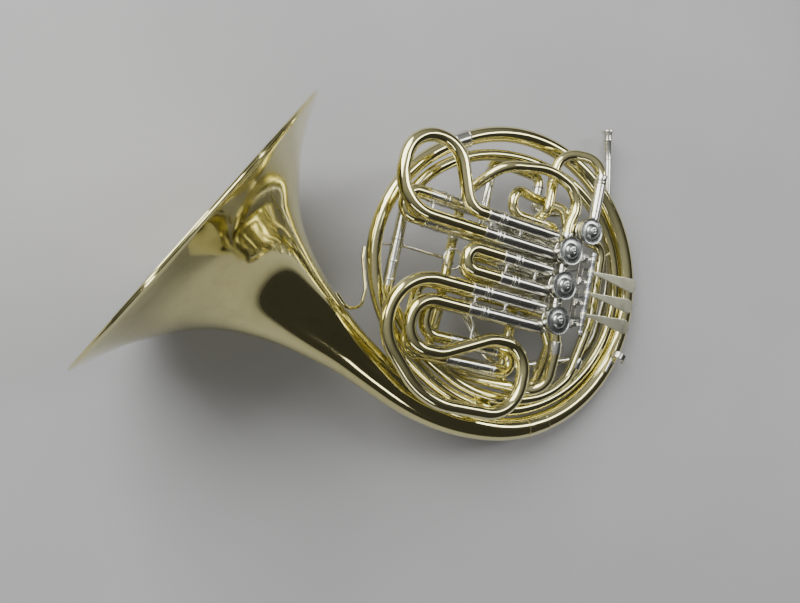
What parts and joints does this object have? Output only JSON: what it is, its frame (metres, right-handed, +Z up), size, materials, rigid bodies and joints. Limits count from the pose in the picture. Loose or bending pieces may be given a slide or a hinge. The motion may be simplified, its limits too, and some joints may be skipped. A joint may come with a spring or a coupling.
{
  "type": "french horn",
  "caption": "French horn in F and B flat lying on its bell rim: flared bell, coiled brass tubing, rotary valves, finger levers and pull-out tuning slides.",
  "frame": {"origin": "middle of the horn's bounding box, at the height of the table it lies on", "axes": "+Z up from the table; +X from the bell's mouth towards the mouthpiece side; +Y up the wrap towards the mouthpiece end"},
  "size_m": [0.5566, 0.3438, 0.2876],
  "materials": {
    "lacquered_brass": "clear-lacquered yellow brass, polished",
    "nickel_silver": "bare nickel silver, lightly dulled",
    "satin_nickel_silver": "satin worn nickel silver",
    "steel": "fine brushed"
  },
  "bodies": {
    "body": {"bell": "lacquered_brass", "first_branch": "lacquered_brass", "second_branch": "lacquered_brass", "inner_branch": "lacquered_brass", "f_return_tube": "lacquered_brass", "f_return_arch": "lacquered_brass", "b_return_tube": "lacquered_brass", "b_feed_curl": "lacquered_brass", "bell_feed": "lacquered_brass", "bell_brace": "lacquered_brass", "leadpipe": "nickel_silver", "mouthpiece_receiver": "nickel_silver", "main_slide_sleeve_left": "nickel_silver", "main_slide_inlet": "nickel_silver", "b_tuning_sleeve": "nickel_silver", "sleeves_f1": "nickel_silver", "sleeves_f2": "nickel_silver", "sleeves_f3": "nickel_silver", "sleeves_b1": "nickel_silver", "sleeves_b2": "nickel_silver", "sleeves_b3": "nickel_silver", "valve_casing_1": "nickel_silver", "valve_casing_2": "nickel_silver", "valve_casing_3": "nickel_silver", "valve_casing_thumb": "nickel_silver", "valve_cap_1": "nickel_silver", "valve_cap_2": "nickel_silver", "valve_cap_3": "nickel_silver", "valve_cap_thumb": "nickel_silver", "lever_bracket": "nickel_silver", "thumb_bracket": "nickel_silver", "finger_hook": "nickel_silver", "lever_axle": "steel", "lever_spring_1": "steel", "lever_spring_2": "steel", "lever_spring_3": "steel"},
    "f1_slide": {"slide_f1": "lacquered_brass"},
    "f2_slide": {"slide_f2": "lacquered_brass"},
    "f3_slide": {"slide_f3": "lacquered_brass"},
    "b1_slide": {"slide_b1": "lacquered_brass"},
    "b2_slide": {"slide_b2": "lacquered_brass"},
    "b3_slide": {"slide_b3": "lacquered_brass"},
    "main_slide": {"main_tuning_slide": "lacquered_brass"},
    "b_slide": {"b_tuning_slide": "lacquered_brass"},
    "rotor_1_turning": {"rotor_1": "nickel_silver", "stop_arm_1": "steel"},
    "lever_1_arm": {"lever_1": "satin_nickel_silver"},
    "link_1": {"link_rod_1": "steel"},
    "rotor_2_turning": {"rotor_2": "nickel_silver", "stop_arm_2": "steel"},
    "lever_2_arm": {"lever_2": "satin_nickel_silver"},
    "link_2": {"link_rod_2": "steel"},
    "rotor_3_turning": {"rotor_3": "nickel_silver", "stop_arm_3": "steel"},
    "lever_3_arm": {"lever_3": "satin_nickel_silver"},
    "link_3": {"link_rod_3": "steel"},
    "rotor_thumb_turning": {"rotor_thumb": "nickel_silver", "stop_arm_thumb": "steel"},
    "thumb_lever_arm": {"thumb_lever": "satin_nickel_silver"},
    "thumb_link_rod": {"thumb_link": "steel"}
  },
  "joints": [
    {"name": "f1_slide_pull", "type": "slide", "parent": "body", "child": "f1_slide", "axis": [-0.9402, 0.2005, 0.2755], "range_m": [0, 0.04]},
    {"name": "f2_slide_pull", "type": "slide", "parent": "body", "child": "f2_slide", "axis": [-0.9402, 0.2005, 0.2755], "range_m": [0, 0.025]},
    {"name": "f3_slide_pull", "type": "slide", "parent": "body", "child": "f3_slide", "axis": [-0.9402, 0.2005, 0.2755], "range_m": [0, 0.025]},
    {"name": "b1_slide_pull", "type": "slide", "parent": "body", "child": "b1_slide", "axis": [-0.9402, 0.2005, 0.2755], "range_m": [0, 0.04]},
    {"name": "b2_slide_pull", "type": "slide", "parent": "body", "child": "b2_slide", "axis": [-0.9402, 0.2005, 0.2755], "range_m": [0, 0.02]},
    {"name": "b3_slide_pull", "type": "slide", "parent": "body", "child": "b3_slide", "axis": [0.9402, -0.2005, -0.2755], "range_m": [0, 0.025]},
    {"name": "main_slide_pull", "type": "slide", "parent": "body", "child": "main_slide", "axis": [0.2171, 0.9757, 0.0307], "range_m": [0, 0.012]},
    {"name": "b_slide_pull", "type": "slide", "parent": "body", "child": "b_slide", "axis": [0.2171, 0.9757, 0.0307], "range_m": [0, 0.014]},
    {"name": "rotor_1_turn", "type": "hinge", "parent": "body", "child": "rotor_1_turning", "pos_m": [0.16405, 0.01947, 0.06997], "axis": [0.2627, -0.0887, 0.9608], "range_deg": [-90, 0], "stiffness_Nm_per_rad": 0.003, "springref_deg": 45.84},
    {"name": "lever_1_press", "type": "hinge", "parent": "body", "child": "lever_1_arm", "pos_m": [0.1975, -0.00197, 0.08174], "axis": [0.2171, 0.9757, 0.0307], "range_deg": [0, 8.3]},
    {"name": "link_1_swing", "type": "hinge", "parent": "lever_1_arm", "child": "link_1", "pos_m": [0.18381, 0.00632, 0.029], "axis": [0.2171, 0.9757, 0.0307], "range_deg": [-8.3, 0]},
    {"name": "rotor_2_turn", "type": "hinge", "parent": "body", "child": "rotor_2_turning", "pos_m": [0.15639, -0.01497, 0.06888], "axis": [0.2627, -0.0887, 0.9608], "range_deg": [-90, 0], "stiffness_Nm_per_rad": 0.003, "springref_deg": 45.84},
    {"name": "lever_2_press", "type": "hinge", "parent": "body", "child": "lever_2_arm", "pos_m": [0.19272, -0.02343, 0.08107], "axis": [0.2171, 0.9757, 0.0307], "range_deg": [0, 8.3]},
    {"name": "link_2_swing", "type": "hinge", "parent": "lever_2_arm", "child": "link_2", "pos_m": [0.17751, -0.02197, 0.02812], "axis": [0.2171, 0.9757, 0.0307], "range_deg": [-8.3, 0]},
    {"name": "rotor_3_turn", "type": "hinge", "parent": "body", "child": "rotor_3_turning", "pos_m": [0.14872, -0.04941, 0.0678], "axis": [0.2627, -0.0887, 0.9608], "range_deg": [-90, 0], "stiffness_Nm_per_rad": 0.003, "springref_deg": 45.84},
    {"name": "lever_3_press", "type": "hinge", "parent": "body", "child": "lever_3_arm", "pos_m": [0.18795, -0.0449, 0.08039], "axis": [0.2171, 0.9757, 0.0307], "range_deg": [0, 8.3]},
    {"name": "link_3_swing", "type": "hinge", "parent": "lever_3_arm", "child": "link_3", "pos_m": [0.17274, -0.04344, 0.02744], "axis": [0.2171, 0.9757, 0.0307], "range_deg": [-8.3, 0]},
    {"name": "rotor_thumb_turn", "type": "hinge", "parent": "body", "child": "rotor_thumb_turning", "pos_m": [0.1889, 0.04044, 0.06511], "axis": [0.2627, -0.0887, 0.9608], "range_deg": [0, 90], "stiffness_Nm_per_rad": 0.003, "springref_deg": -45.84},
    {"name": "thumb_lever_press", "type": "hinge", "parent": "body", "child": "thumb_lever_arm", "pos_m": [0.20039, 0.03954, 0.01244], "axis": [0.2171, 0.9757, 0.0307], "range_deg": [0, 20.7]},
    {"name": "thumb_link_swing", "type": "hinge", "parent": "thumb_lever_arm", "child": "thumb_link_rod", "pos_m": [0.20365, 0.03577, 0.0263], "axis": [0.2171, 0.9757, 0.0307], "range_deg": [-20.7, 0]}
  ],
  "couplings": [
    {"joint": "lever_1_press", "follows": "rotor_1_turn", "ratio": -0.092},
    {"joint": "link_1_swing", "follows": "rotor_1_turn", "ratio": 0.092},
    {"joint": "lever_2_press", "follows": "rotor_2_turn", "ratio": -0.092},
    {"joint": "link_2_swing", "follows": "rotor_2_turn", "ratio": 0.092},
    {"joint": "lever_3_press", "follows": "rotor_3_turn", "ratio": -0.092},
    {"joint": "link_3_swing", "follows": "rotor_3_turn", "ratio": 0.092},
    {"joint": "thumb_lever_press", "follows": "rotor_thumb_turn", "ratio": 0.229},
    {"joint": "thumb_link_swing", "follows": "rotor_thumb_turn", "ratio": -0.229}
  ]
}
